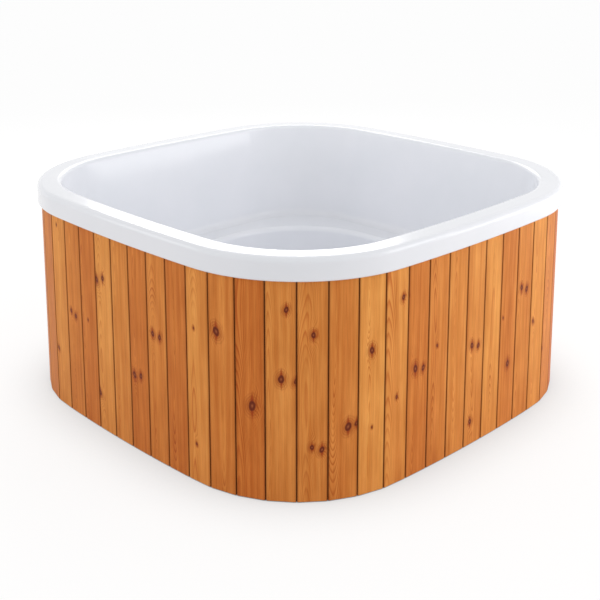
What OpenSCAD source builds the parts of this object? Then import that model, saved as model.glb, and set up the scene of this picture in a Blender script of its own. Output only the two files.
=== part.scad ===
// Square hot tub: a one-piece white moulded shell hung in a timber frame and clad with upright boards.
// The origin is on the ground at the middle of the tub, +Z is up and the plumbing leaves at +Y.
// Every outline is a square with bowed sides and round corners, measured on the outside of the cladding.

/* [Outline] */
// Width across the cladding, face to face at the middle of a side
skirt_w = 2120; // [1900:20:2400]
// Corner radius of the cladding
corner_r = 600; // [520:10:680]
// Radius of the bow in each side
side_r = 8000; // [5500:100:9500]

/* [Cladding] */
// Boards in each quarter of the way round, an odd number so that one is in the middle of a side
boards_per_quarter = 15; // [13:2:19]
// Thickness of a board
board_t = 22; // [18:1:28]
// Gap left between two boards' faces
board_gap = 4; // [2:0.5:6]
// Bevel on a board's two front edges
board_bevel = 3; // [1:0.5:4]
// Thickness of the tongue along a board's edge
tongue_t = 5; // [4:0.5:7]
// How far the tongue goes into the next board
tongue_reach = 5; // [3:0.5:7]
// Height of the boards' lower ends above the ground
board_bottom = 4; // [2:1:20]
// Height of the boards' upper ends above the ground
board_top = 990; // [980:1:991]

/* [Shell] */
// Height of the rim's top above the ground
rim_z = 1005; // [1000:1:1060]
// Height of the rim's outer face
rim_h = 96; // [80:1:115]
// How far the rim stands out past the cladding
rim_overhang = 16; // [14:1:28]
// Distance from the cladding's face in to the edge of the basin
rim_inset = 94; // [88:1:110]
// Wall thickness of the moulding
shell_t = 8; // [5:0.5:10]
// Radius of the rim's outer upper edge
rim_edge_r = 25; // [18:1:32]
// Radius of the rim's lower edge
rim_lower_r = 10; // [9:0.5:11]
// Radius of the rim's edge into the basin
basin_edge_r = 22; // [16:1:28]
// Slope of the upper wall from upright, in degrees
wall_draft = 10.8; // [8:0.2:12]
// Height of the ledge above the ground
ledge_z = 500; // [480:5:530]
// Radius where the wall runs into the ledge
ledge_cove_r = 40; // [25:1:50]
// Width of the foot well at the ledge
well_w = 1400; // [1360:4:1440]
// Corner radius of the foot well at the ledge
well_corner_r = 500; // [440:2:520]
// Slope of the foot well's wall from upright, in degrees
well_draft = 4.5; // [3:0.5:7]
// Radius of the ledge's front edge
well_edge_r = 30; // [20:1:40]
// Radius where the foot well's wall runs into its floor
well_cove_r = 60; // [40:1:80]
// Height of the foot well's floor above the ground
floor_z = 150; // [150:1:180]

/* [Frame] */
// Height of the ground bearers
bearer_h = 45; // [35:1:70]
// Width of a ground bearer
bearer_w = 95; // [70:5:120]
// Number of ground bearers
bearer_count = 5; // [3:1:7]
// Thickness of the base board
base_t = 15; // [12:1:18]
// Thickness of the bottom ring
bottom_ring_t = 18; // [12:1:18]
// Thickness of the deck under the ledge
deck_t = 21; // [15:1:27]
// Thickness of the top ring
top_ring_t = 22; // [18:1:30]
// Width of the bottom ring
ring_w = 62; // [50:1:64]
// Section of the studs between the rings
stud_w = 45; // [35:1:48]
// Section of the posts under the ledge
post_w = 45; // [35:1:50]
// Thickness of the foam on the shell's walls
foam_t = 25; // [15:1:28]

/* [Plumbing] */
// Distance of the drain from the middle of the foot well
drain_y = 420; // [380:10:460]
// Height of the drain pipe's centre line
drain_z = 101; // [101:0.5:102]
// Outside diameter of the drain pipe
drain_pipe_d = 40; // [36:0.5:40]
// Bore of the drain and of its ball valve
drain_bore = 32; // [28:0.5:33]
// Outside diameter of the drain's threaded tail
drain_tail_d = 48; // [46:0.5:50]
// Outside diameter of the drain flange
drain_flange_d = 92; // [86:1:100]
// Diameter of the ball in the drain valve
ball_d = 46; // [44:0.5:48]
// Length of the valve lever from its pivot to its tip
lever_l = 125; // [100:5:150]
// Outside diameter of the heater pipes
heater_pipe_d = 50; // [44:1:54]
// Wall of the heater pipes
heater_pipe_wall = 3; // [2:0.5:4]
// Height of the lower heater pipe
heater_low_z = 250; // [240:5:270]
// Height of the upper heater pipe
heater_high_z = 395; // [380:5:400]
// How far the heater pipes stand out past the cladding
heater_stub = 80; // [70:5:110]
// Length of a heater pipe's end that a hose goes over
heater_hose_l = 60; // [40:5:60]

/* [Hidden] */
$fn = 96;

seat_gap = 0.3;      // clearance between a piece and what it is laid against
thread_gap = 0.2;    // radial clearance of a screwed or glued socket
stem_gap = 0.05;     // radial running clearance of the valve's stem
arc_steps = 6;       // straight steps in each rounded edge of the moulding
bow_steps = 4;       // steps that a bowed side is drawn in, an even number so that one ends at its middle
edge_steps = 12;     // steps in each arc of a plate's edge

white = [0.95, 0.95, 0.96];
pine = [0.80, 0.47, 0.20];
plywood = [0.78, 0.62, 0.42];
spruce = [0.85, 0.72, 0.50];
treated = [0.45, 0.45, 0.30];
foam = [0.90, 0.85, 0.60];
plastic = [0.30, 0.31, 0.33];
rubber = [0.12, 0.12, 0.12];
steel = [0.75, 0.76, 0.78];
ptfe = [0.93, 0.93, 0.92];
grip_red = [0.70, 0.10, 0.08];

// An outline is [width, corner radius, radius of the bow]. A bow of 0 is a straight side.
skirt = [skirt_w, corner_r, side_r];
well = [well_w, well_corner_r, 0];

// Distance of each corner arc's centre from the two middle planes
function corner_c(ol) =
    ol[2] == 0 ? ol[0] / 2 - ol[1] :
    let (b = ol[2] - ol[0] / 2, k = b * b - pow(ol[2] - ol[1], 2))
    (-b + sqrt(b * b - 2 * k)) / 2;
// Half the angle that a bowed side turns through
function bow_angle(ol) = ol[2] == 0 ? 0 : atan2(corner_c(ol), ol[2] - ol[0] / 2 + corner_c(ol));
// Half the length of a side, and of a corner, along the outline
function half_side(ol) = ol[2] == 0 ? corner_c(ol) : ol[2] * bow_angle(ol) * PI / 180;
function half_corner(ol) = ol[1] * (45 - bow_angle(ol)) * PI / 180;

function turned(p, a) = [p[0] * cos(a) - p[1] * sin(a), p[0] * sin(a) + p[1] * cos(a)];
function arc(c, r, from, to, steps) =
    [for (i = [0:steps]) let (t = from + (to - from) * i / steps) c + r * [cos(t), sin(t)]];
function backwards(list) = [for (i = [len(list) - 1:-1:0]) list[i]];

// The outline as points, moved out by off, for plates whose edges are hidden in another piece
function outline_points(ol, off, steps) = [
    for (q = [0:3])
        let (c = corner_c(ol), a = bow_angle(ol))
        for (p = concat(
            ol[2] == 0 ? [] : arc([0, ol[2] - ol[0] / 2], ol[2] + off, -90 - a, -90 + a, steps),
            arc([c, -c], ol[1] + off, -90 + a, -a, steps)))
            turned(p, 90 * q)
];

// A profile drawn as [distance out from the outline, height], carried all the way round it
module carried_round(ol) {
    c = corner_c(ol);
    a = bow_angle(ol);
    for (q = [0:3])
        rotate(90 * q) {
            if (a == 0)
                translate([c, -ol[0] / 2, 0])
                    rotate([90, 0, -90])
                        linear_extrude(2 * c)
                            children();
            else
                translate([0, ol[2] - ol[0] / 2])
                    rotate_extrude(start = -90 - a, angle = 2 * a, $fn = floor(180 * bow_steps / a))
                        translate([ol[2], 0])
                            children();
            translate([c, -c])
                rotate_extrude(start = -90 + a, angle = 90 - 2 * a)
                    translate([ol[1], 0])
                        children();
        }
}

module plate(points, z, t) {
    translate([0, 0, z])
        linear_extrude(t)
            polygon(points);
}

// Joints between boards: joint 0 is at the middle of the front left corner, and they run anticlockwise.
quarter_len = 2 * (half_side(skirt) + half_corner(skirt));
board_pitch = quarter_len / boards_per_quarter;
board_count = 4 * boards_per_quarter;
corner_boards = 2 * round(half_corner(skirt) / board_pitch);
side_boards = boards_per_quarter - corner_boards;

// Place and outward direction on the front quarter at a distance s past the front left corner's middle
function quarter_spot(s) =
    let (c = corner_c(skirt), a = bow_angle(skirt), hc = half_corner(skirt))
    s < hc ? let (t = -135 + s / corner_r * 180 / PI)
             [[-c, -c] + corner_r * [cos(t), sin(t)], t] :
    s > quarter_len - hc ? let (t = -45 - (quarter_len - s) / corner_r * 180 / PI)
             [[c, -c] + corner_r * [cos(t), sin(t)], t] :
    let (t = -90 - a + (s - hc) / side_r * 180 / PI)
             [[0, side_r - skirt_w / 2] + side_r * [cos(t), sin(t)], t];
function skirt_spot(k) =
    let (q = floor(k / boards_per_quarter), f = quarter_spot((k - q * boards_per_quarter) * board_pitch))
    [turned(f[0], 90 * q), f[1] + 90 * q];
// The point u along and depth in from the outside at joint k
function at_joint(k, u, depth) =
    let (f = skirt_spot(k), out = [cos(f[1]), sin(f[1])])
    f[0] + u * [-out[1], out[0]] - depth * out;
function board_middle(k) = (at_joint(k, 0, 0) + at_joint(k + 1, 0, 0)) / 2;
// The point at a depth behind the middle of board k, square to its face
function behind_board(k, depth) =
    let (t = skirt_spot(k + 0.5)[1])
    board_middle(k) - depth * [cos(t), sin(t)];
function frame_points(depth) = [for (k = [0:board_count - 1]) at_joint(k, 0, depth)];

// Heights that follow from the sizes above
base_z = bearer_h;
frame_z = base_z + base_t;
deck_z = ledge_z - shell_t - deck_t;
top_ring_z = rim_z - shell_t - top_ring_t;
frame_edge = board_t + seat_gap;
stud_depth = frame_edge + stud_w / 2;
tongue_depth = board_t / 2 - tongue_t / 2 - 1;

// Plumbing places: the boards on both sides of the back's middle one carry the drain and the heater pipes
middle_at = 2.5 * boards_per_quarter - 0.5;
drain_at = middle_at - 1;
heater_at = middle_at + 1;
drain_x = board_middle(drain_at)[0];
heater_x = board_middle(heater_at)[0];
back_face_y = board_middle(drain_at)[1];
drain_hole_d = drain_pipe_d + 12;
heater_hole_d = heater_pipe_d + 12;

// Foot well wall: distance out of its inner face from the middle, at a height
function well_wall_y(z) = well_w / 2 - (ledge_z - z) * tan(well_draft);
boss_lip = 28;       // how far a port's boss reaches past its pipe
boss_proud = 3;      // least height of a boss over the leaning wall
boss_r = heater_pipe_d / 2 + boss_lip;
function boss_front(z) = well_wall_y(z) - boss_r * tan(well_draft) - boss_proud;
function boss_back(z) = well_wall_y(z) + shell_t + boss_r * tan(well_draft) + boss_proud;
port_nut_t = 14;
port_tail_end = 32;  // how far the port's tail stands out behind the boss

// Centre of an edge rounding r between a level at z and a wall that leans by lean through [d, wall_z].
// side is 1 for an outer edge and -1 for a cove.
function rounding(d, wall_z, lean, z, r, side) =
    [d + (side * r + sin(lean) * (z - side * r - wall_z)) / cos(lean), z - side * r];

lip_gap = 1;         // between the rim's lip and the cladding's face

// The moulding's visible face moved back by o, from under the rim to the ledge
function rim_path(o) = concat(
    [[lip_gap, rim_z - rim_h + o]],
    arc([rim_overhang - rim_lower_r, rim_z - rim_h + rim_lower_r], rim_lower_r - o, -90, 0, arc_steps),
    arc([rim_overhang - rim_edge_r, rim_z - rim_edge_r], rim_edge_r - o, 0, 90, arc_steps),
    arc(rounding(-rim_inset, rim_z, wall_draft, rim_z, basin_edge_r, 1),
        basin_edge_r - o, 90, 180 - wall_draft, arc_steps),
    arc(rounding(-rim_inset, rim_z, wall_draft, ledge_z, ledge_cove_r, -1),
        ledge_cove_r + o, -wall_draft, -90, arc_steps));
ledge_back = rounding(-rim_inset, rim_z, wall_draft, ledge_z, ledge_cove_r, -1)[0];
ledge_lap = 8;       // how far the ledge's plate laps the moulded edges
function well_path(o) = concat(
    arc(rounding(0, ledge_z, well_draft, ledge_z, well_edge_r, 1),
        well_edge_r - o, 90, 180 - well_draft, arc_steps),
    arc(rounding(0, ledge_z, well_draft, floor_z, well_cove_r, -1),
        well_cove_r + o, -well_draft, -90, arc_steps));
well_front = rounding(0, ledge_z, well_draft, ledge_z, well_edge_r, 1)[0];
floor_edge = rounding(0, ledge_z, well_draft, floor_z, well_cove_r, -1)[0];

// One moulding with the same wall everywhere: rim, upper wall, ledge, foot well and floor.
module tub_shell() {
    color(white)
        difference() {
            union() {
                carried_round(skirt)
                    polygon(concat(
                        rim_path(0),
                        [[ledge_back - ledge_lap, ledge_z], [ledge_back - ledge_lap, ledge_z - shell_t]],
                        backwards(rim_path(shell_t))));
                translate([0, 0, ledge_z - shell_t])
                    linear_extrude(shell_t)
                        difference() {
                            polygon(outline_points(skirt, ledge_back - ledge_lap / 2, edge_steps));
                            polygon(outline_points(well, well_front + ledge_lap / 2, edge_steps));
                        }
                carried_round(well)
                    polygon(concat(
                        [[well_front + ledge_lap, ledge_z - shell_t], [well_front + ledge_lap, ledge_z]],
                        well_path(0),
                        [[floor_edge - ledge_lap, floor_z], [floor_edge - ledge_lap, floor_z - shell_t]],
                        backwards(well_path(shell_t))));
                plate(
                    outline_points(well, floor_edge - ledge_lap / 2, edge_steps), floor_z - shell_t, shell_t);
                for (z = [heater_low_z, heater_high_z])
                    translate([heater_x, boss_front(z), z])
                        rotate([-90, 0, 0])
                            cylinder(r = boss_r, h = boss_back(z) - boss_front(z));
            }
            for (z = [heater_low_z, heater_high_z])
                translate([heater_x, boss_front(z) - 1, z])
                    rotate([-90, 0, 0])
                        cylinder(d = heater_pipe_d + 2 * thread_gap, h = boss_back(z) - boss_front(z) + 2);
            translate([drain_x, drain_y, floor_z - shell_t - 1])
                cylinder(d = drain_tail_d + 2 * thread_gap, h = shell_t + 2);
        }
}

// Foam sprayed on the back of the upper wall, from over the ledge's cove to under the top ring
module wall_foam() {
    low = ledge_z + 25;
    high = top_ring_z - 80;
    function back(z, o) = [-rim_inset - (rim_z - z) * tan(wall_draft) + o / cos(wall_draft), z];
    color(foam)
        carried_round(skirt)
            polygon([
                back(low, shell_t + seat_gap), back(low, foam_t + shell_t),
                back(high, foam_t + shell_t), back(high, shell_t + seat_gap)]);
}

// Foam on the back of the foot well's wall, open round the heater pipes' nuts
module well_foam() {
    foam_play = 4;
    low = floor_z + well_cove_r;
    high = deck_z - 10;
    function back(z, o) = [-(ledge_z - z) * tan(well_draft) + o / cos(well_draft), z];
    color(foam)
        difference() {
            carried_round(well)
                polygon([
                    back(low, shell_t + seat_gap), back(low, foam_t + shell_t),
                    back(high, foam_t + shell_t), back(high, shell_t + seat_gap)]);
            for (z = [heater_low_z, heater_high_z])
                translate([heater_x, boss_front(z), z])
                    rotate([-90, 0, 0])
                        cylinder(r = boss_r + foam_play, h = 4 * foam_t);
        }
}

// Foam slab that carries the foot well, with a channel for the drain
module floor_pad() {
    channel_w = drain_tail_d + 30;
    pocket_d = drain_flange_d + 14;  // lets the drain's nut and elbow in
    color(foam)
        difference() {
            plate(outline_points(well, floor_edge, edge_steps), frame_z, floor_z - shell_t - frame_z);
            translate([drain_x, drain_y, frame_z - 1])
                cylinder(d = pocket_d, h = floor_z);
            translate([drain_x - channel_w / 2, drain_y, frame_z - 1])
                cube([channel_w, well_w, floor_z]);
        }
}

// Joists on the ground, cut to the outline
module ground_bearers() {
    run = skirt_w - 2 * (frame_edge + bearer_w);
    color(treated)
        for (i = [0:bearer_count - 1])
            intersection() {
                plate(frame_points(frame_edge + 4), 0, bearer_h);
                translate([-run / 2 + run * i / (bearer_count - 1) - bearer_w / 2, -skirt_w, 0])
                    cube([bearer_w, 2 * skirt_w, bearer_h]);
            }
}

module base_board() {
    color(plywood)
        plate(frame_points(frame_edge), base_z, base_t);
}

// The bottom ring's outer edge has one flat for each board
module bottom_ring() {
    color(plywood)
        translate([0, 0, frame_z])
            linear_extrude(bottom_ring_t)
                difference() {
                    polygon(frame_points(frame_edge));
                    polygon(frame_points(frame_edge + ring_w));
                }
}

// The top ring fills the flat under the rim, from the boards to the edge of the basin
module top_ring() {
    flat_edge = rounding(-rim_inset, rim_z, wall_draft, rim_z, basin_edge_r, 1)[0];
    color(plywood)
        translate([0, 0, top_ring_z])
            linear_extrude(top_ring_t)
                difference() {
                    polygon(frame_points(frame_edge));
                    polygon(outline_points(skirt, flat_edge + seat_gap, 24));
                }
}

// The deck under the ledge reaches from the boards to the foot well
module ledge_deck() {
    color(plywood)
        translate([0, 0, deck_z])
            linear_extrude(deck_t)
                difference() {
                    polygon(frame_points(frame_edge));
                    polygon(outline_points(well, well_front + seat_gap, 24));
                }
}

// Three studs to a side, one of them in its middle, and one at each corner, all square to the boards
module studs(from, to) {
    for (q = [0:3])
        for (board = [0, corner_boards / 2, (boards_per_quarter - 1) / 2,
                      boards_per_quarter - corner_boards / 2 - 1]) {
            k = q * boards_per_quarter + board;
            spot = behind_board(k, stud_depth);
            translate([spot[0], spot[1], from])
                rotate(skirt_spot(k + 0.5)[1])
                    translate([-stud_w / 2, -stud_w / 2, 0])
                        cube([stud_w, stud_w, to - from]);
        }
}

module lower_studs() {
    color(spruce)
        studs(frame_z + bottom_ring_t, deck_z - seat_gap);
}

module upper_studs() {
    color(spruce)
        studs(deck_z + deck_t, top_ring_z - seat_gap);
}

// Two posts under the ledge on each side
module ledge_posts() {
    in = well_w / 2 + shell_t + foam_t + post_w / 2 + 6;
    color(spruce)
        for (q = [0:3], side = [-1, 1])
            rotate(90 * q)
                translate([side * well_w / 4.5 - post_w / 2, in - post_w / 2, frame_z])
                    cube([post_w, post_w, deck_z - seat_gap - frame_z]);
}

// One board between joints k and k + 1, its groove at k and its tongue at k + 1
module board(k) {
    h = board_gap / 2;
    groove = seat_gap / 2;
    translate([0, 0, board_bottom])
        linear_extrude(board_top - board_bottom)
            polygon([
                at_joint(k, h, board_bevel),
                at_joint(k, h + board_bevel, 0),
                at_joint(k + 1, -h - board_bevel, 0),
                at_joint(k + 1, -h, board_bevel),
                at_joint(k + 1, -h, tongue_depth),
                at_joint(k + 1, h + tongue_reach - 1, tongue_depth),
                at_joint(k + 1, h + tongue_reach, tongue_depth + 1),
                at_joint(k + 1, h + tongue_reach, tongue_depth + tongue_t - 1),
                at_joint(k + 1, h + tongue_reach - 1, tongue_depth + tongue_t),
                at_joint(k + 1, -h, tongue_depth + tongue_t),
                at_joint(k + 1, -h, board_t),
                at_joint(k, h, board_t),
                at_joint(k, h, tongue_depth + tongue_t + groove),
                at_joint(k, h + tongue_reach + 2 * groove, tongue_depth + tongue_t + groove),
                at_joint(k, h + tongue_reach + 2 * groove, tongue_depth - groove),
                at_joint(k, h, tongue_depth - groove)]);
}

// The boards of one side: count of them from board first
module boards(first, count) {
    color(pine)
        for (k = [first:first + count - 1])
            board(k);
}

module side_run(q) { boards(q * boards_per_quarter + corner_boards / 2, side_boards); }
module corner_run(q) { boards(q * boards_per_quarter - corner_boards / 2, corner_boards); }

module front_boards() { side_run(0); }
module front_right_corner_boards() { corner_run(1); }
module right_boards() { side_run(1); }
module back_right_corner_boards() { corner_run(2); }
module back_left_corner_boards() { corner_run(3); }
module left_boards() { side_run(3); }
module front_left_corner_boards() { corner_run(0); }

// Beside the back's middle board one board is drilled for the drain and one for the two heater pipes
module back_boards() {
    boards(2 * boards_per_quarter + corner_boards / 2, (side_boards - 3) / 2);
    boards(middle_at, 1);
    boards(heater_at + 1, (side_boards - 3) / 2);
}

module pipe_hole(x, z, d) {
    translate([x, back_face_y - 2 * board_t, z])
        rotate([-90, 0, 0])
            cylinder(d = d, h = 3 * board_t);
}

module drain_board() {
    color(pine)
        difference() {
            board(drain_at);
            pipe_hole(drain_x, drain_z, drain_hole_d);
        }
}

module heater_board() {
    color(pine)
        difference() {
            board(heater_at);
            for (z = [heater_low_z, heater_high_z])
                pipe_hole(heater_x, z, heater_hole_d);
        }
}

// Rubber ring in a board's hole, its lip against the board's face
module grommet(x, z, pipe_d, hole_d) {
    lip_w = 5;
    lip_t = 3;
    face_gap = 3 * seat_gap;  // clear of the board's face, which is turned a little
    translate([x, back_face_y, z])
        rotate([-90, 0, 0])
            difference() {
                union() {
                    translate([0, 0, -board_t])
                        cylinder(d = hole_d - 2 * seat_gap, h = board_t + 1);
                    translate([0, 0, face_gap])
                        cylinder(d1 = hole_d + 2 * lip_w, d2 = hole_d + 2, h = lip_t);
                }
                translate([0, 0, -board_t - 1])
                    cylinder(d = pipe_d + 2 * thread_gap, h = board_t + 10);
            }
}

module drain_grommet() {
    color(rubber)
        grommet(drain_x, drain_z, drain_pipe_d, drain_hole_d);
}

module port_grommets() {
    color(rubber)
        for (z = [heater_low_z, heater_high_z])
            grommet(heater_x, z, heater_pipe_d, heater_hole_d);
}

gasket_t = 2;
gasket_inset = 1;    // a gasket's edge lies this far inside its flange's edge
gasket_play = 0.5;   // round a tail that goes through a gasket
drain_flange_t = 4;
drain_edge = 3;      // bevel of the flange's rim
drain_lip = 13;      // flat of the flange round the strainer
recess_t = 2.5;      // depth of the strainer's recess
tail_wall = 6;       // wall of the flange's tail
tail_dip = 12;       // how far the tail goes down past the drain pipe's top
drain_tail_bottom = drain_z + drain_tail_d / 2 - tail_dip;
drain_recess_d = drain_flange_d - 2 * drain_lip;
drain_tail_bore = drain_tail_d - 2 * tail_wall;

// Flange on the floor of the foot well, dished to the bore, with its tail through the floor
module drain_flange() {
    top = floor_z + gasket_t + drain_flange_t;
    color(steel)
        translate([drain_x, drain_y, 0])
            difference() {
                union() {
                    translate([0, 0, floor_z + gasket_t])
                        cylinder(
                            d1 = drain_flange_d, d2 = drain_flange_d - 2 * drain_edge, h = drain_flange_t);
                    translate([0, 0, drain_tail_bottom])
                        cylinder(d = drain_tail_d, h = top - drain_tail_bottom - 1);
                }
                translate([0, 0, top - recess_t])
                    cylinder(d = drain_recess_d, h = 2 * recess_t);
                translate([0, 0, drain_tail_bottom - 1])
                    cylinder(d = drain_tail_bore, h = top - drain_tail_bottom + 2);
            }
}

// Slotted disc that lies in the flange's recess and keeps hair and leaves out of the drain
module drain_strainer() {
    slots = 12;
    slot_w = 2;
    hub = 5;         // middle left whole, and rib left round the slots
    rim = 2;
    t = 2;
    play = 1;        // round the disc, so that a finger nail lifts it out
    spigot_l = 8;    // reaches down into the tail and keeps the disc in place
    color(steel)
        translate([drain_x, drain_y, floor_z + gasket_t + drain_flange_t - recess_t + seat_gap])
            difference() {
                union() {
                    cylinder(d = drain_recess_d - 2 * play, h = t);
                    translate([0, 0, -spigot_l])
                        cylinder(d = drain_tail_bore - 4 * seat_gap, h = spigot_l + 1);
                }
                translate([0, 0, -spigot_l - 1])
                    cylinder(d = drain_bore, h = spigot_l + 0.5);
                for (i = [0:slots - 1])
                    rotate(360 / slots * i)
                        translate([hub, -slot_w / 2, -1])
                            cube([drain_bore / 2 - rim - hub, slot_w, t + 2]);
            }
}

module drain_gasket() {
    color(rubber)
        translate([drain_x, drain_y, floor_z])
            difference() {
                cylinder(d = drain_flange_d - 2 * gasket_inset, h = gasket_t);
                translate([0, 0, -1])
                    cylinder(d = drain_tail_d + 2 * gasket_play, h = gasket_t + 2);
            }
}

drain_nut_t = 13;

// Six-sided nut with a washer face against the floor's underside
module drain_nut() {
    corner = 12;     // from the thread out to the nut's corners
    washer = 13;     // and out to the washer face's edge
    washer_t = 3;
    color(plastic)
        translate([drain_x, drain_y, floor_z - shell_t - drain_nut_t])
            difference() {
                union() {
                    cylinder(d = drain_tail_d + 2 * corner, h = drain_nut_t, $fn = 6);
                    translate([0, 0, drain_nut_t - washer_t])
                        cylinder(d = drain_tail_d + 2 * washer, h = washer_t);
                }
                translate([0, 0, -1])
                    cylinder(d = drain_tail_d + 2 * thread_gap, h = drain_nut_t + 2);
            }
}

elbow_reach = 62;    // from the drain's axis to the elbow's mouth
elbow_socket = 24;   // how deep the pipe goes into it
elbow_wall = 4.5;
elbow_gap = 2;       // between the elbow's top and the nut
pipe_bore = drain_bore + 2;

// Square elbow: the tail screws into its top and the pipe is glued into its side
module drain_elbow() {
    top = floor_z - shell_t - drain_nut_t - elbow_gap;
    out = drain_pipe_d + 2 * elbow_wall;
    tail_out = drain_tail_d + 8;
    collar_t = 12;   // band round the mouth that the tail screws into
    neck_wall = 2.5; // of the plain length between the bend and the socket
    step = 4;        // band behind the socket
    color(plastic)
        translate([drain_x, drain_y, drain_z])
            difference() {
                union() {
                    sphere(d = out);
                    cylinder(d = out, h = top - drain_z);
                    translate([0, 0, top - drain_z - collar_t])
                        cylinder(d = tail_out, h = collar_t);
                    rotate([-90, 0, 0])
                        cylinder(d = drain_pipe_d + 2 * neck_wall, h = elbow_reach);
                    translate([0, elbow_reach - elbow_socket - step, 0])
                        rotate([-90, 0, 0])
                            cylinder(d = out, h = elbow_socket + step);
                }
                sphere(d = pipe_bore);
                cylinder(d = pipe_bore, h = top - drain_z + 1);
                rotate([-90, 0, 0])
                    cylinder(d = pipe_bore, h = elbow_reach + 1);
                translate([0, 0, drain_tail_bottom - drain_z - 1])
                    cylinder(d = drain_tail_d + 2 * thread_gap, h = top - drain_tail_bottom + 2);
                translate([0, elbow_reach - elbow_socket, 0])
                    rotate([-90, 0, 0])
                        cylinder(d = drain_pipe_d + 2 * thread_gap, h = elbow_socket + 1);
            }
}

// Ball valve outside the cladding, its middle at valve_y
valve_socket = 18;   // how deep the drain pipe goes into the valve
seat_room = 3;       // behind the ball's end, for its seat
pipe_stop = 2;       // wall between the pipe's end and the cavity
valve_stand = 10;    // between the cladding and the valve
valve_wall = 9;      // round the ball
cavity_half = ball_d / 2 + seat_room;
valve_half = cavity_half + valve_socket + pipe_stop;
valve_y = back_face_y + valve_half + valve_stand;
valve_body_d = ball_d + 2 * valve_wall;
stem_d = 12;
stem_wall = 7;       // wall of the bonnet round the stem
bonnet_h = 10;       // how far the bonnet stands up over the body
stem_h = 30;         // and how far the stem does
stem_top = drain_z + valve_body_d / 2 + stem_h;
bonnet_top = drain_z + valve_body_d / 2 + bonnet_h;

module drain_pipe() {
    from = drain_y + elbow_reach - elbow_socket + 1;
    to = valve_y - valve_half + valve_socket - 1;
    color(plastic)
        translate([drain_x, from, drain_z])
            rotate([-90, 0, 0])
                difference() {
                    cylinder(d = drain_pipe_d, h = to - from);
                    translate([0, 0, -1])
                        cylinder(d = pipe_bore, h = to - from + 2);
                }
}

// Turns a module that runs along +Z into one that runs along +Y through the valve's middle
module on_valve_axis() {
    translate([drain_x, valve_y, drain_z])
        rotate([-90, 0, 0])
            children();
}

tail_thread_d = ball_d + 6;

module valve_body() {
    neck_wall = 7;
    ribs = 8;
    rib_w = 4;
    rib_d = 3.5;
    shoulder = 4;    // how far the round body covers the cavity's end
    color(plastic)
        difference() {
            union() {
                on_valve_axis() {
                    translate([0, 0, -valve_half])
                        cylinder(d = drain_pipe_d + 2 * neck_wall, h = 2 * valve_half);
                    translate([0, 0, -cavity_half - shoulder])
                        cylinder(d = valve_body_d, h = cavity_half + shoulder + valve_half);
                    for (i = [0:ribs - 1])
                        rotate(360 / ribs * i)
                            translate([drain_pipe_d / 2 + neck_wall - 2, -rib_w / 2, -valve_half])
                                cube([rib_d, rib_w, valve_half - cavity_half]);
                }
                translate([drain_x, valve_y, drain_z])
                    cylinder(d = stem_d + 2 * stem_wall, h = bonnet_top - drain_z);
            }
            on_valve_axis() {
                translate([0, 0, -valve_half - 1])
                    cylinder(d = drain_pipe_d + 2 * thread_gap, h = valve_socket + 1);
                translate([0, 0, -valve_half])
                    cylinder(d = drain_bore, h = 2 * valve_half + 1);
                translate([0, 0, -cavity_half])
                    cylinder(d = ball_d + 1, h = 2 * cavity_half);
                translate([0, 0, cavity_half - 1])
                    cylinder(d = tail_thread_d, h = valve_half);
            }
            translate([drain_x, valve_y, drain_z])
                cylinder(d = stem_d + 2 * stem_gap, h = bonnet_top - drain_z + 1);
        }
}

// Two rings that the ball turns between
module valve_seats() {
    ring_t = 6;
    color(ptfe)
        on_valve_axis()
            for (side = [-1, 1])
                difference() {
                    translate([0, 0, side * (cavity_half - seat_gap - ring_t / 2) - ring_t / 2])
                        cylinder(d = ball_d + 1 - 2 * seat_gap, h = ring_t);
                    sphere(d = ball_d + 2 * seat_gap);
                    translate([0, 0, -valve_half])
                        cylinder(d = drain_bore, h = 2 * valve_half);
                }
}

ball_slot_t = 6;     // depth, and width, of the slot that the stem's flat turns the ball by
ball_slot_z = drain_z + ball_d / 2 - ball_slot_t;

// The ball is drawn shut, with its bore across the pipe
module valve_ball() {
    color(steel)
        translate([drain_x, valve_y, drain_z])
            difference() {
                sphere(d = ball_d);
                rotate([0, 90, 0])
                    cylinder(d = drain_bore, h = ball_d + 2, center = true);
                translate([-ball_d / 2, -ball_slot_t / 2, ball_d / 2 - ball_slot_t])
                    cube([ball_d, ball_slot_t, 2 * ball_slot_t]);
            }
}

module valve_stem() {
    shoulder_z = drain_z + ball_d / 2 + 0.5;
    flat_w = ball_slot_t - 2 * seat_gap;
    color(steel)
        translate([drain_x, valve_y, 0]) {
            translate([0, 0, shoulder_z])
                cylinder(d = stem_d, h = stem_top - shoulder_z);
            translate([0, 0, ball_slot_z + seat_gap])
                intersection() {
                    cylinder(d = stem_d, h = shoulder_z - ball_slot_z + 1);
                    translate([-stem_d, -flat_w / 2, 0])
                        cube([2 * stem_d, flat_w, shoulder_z - ball_slot_z + 1]);
                }
        }
}

lever_t = 4;
lever_w = 22;
lever_stand = 4;     // between the bonnet and the lever
lever_z = bonnet_top + lever_stand;
lever_rise = 18;
grip_l = 62;

// Cranked flat lever: hub, a sloped web and a raised handle, shut across the pipe
module valve_lever() {
    hub_d = 30;
    step_x = 20;
    web_x = 38;
    color(steel)
        difference() {
            union() {
                translate([drain_x, valve_y, lever_z])
                    cylinder(d = hub_d, h = lever_t);
                translate([drain_x, valve_y + lever_w / 2, lever_z])
                    rotate([90, 0, 0])
                        linear_extrude(lever_w)
                            polygon([
                                [0, 0], [step_x, 0], [web_x, lever_rise], [lever_l, lever_rise],
                                [lever_l, lever_rise + lever_t], [web_x - 2, lever_rise + lever_t],
                                [step_x - 2, lever_t], [0, lever_t]]);
            }
            translate([drain_x, valve_y, lever_z - 1])
                cylinder(d = stem_d + 2 * thread_gap, h = lever_t + 2);
        }
}

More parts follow.
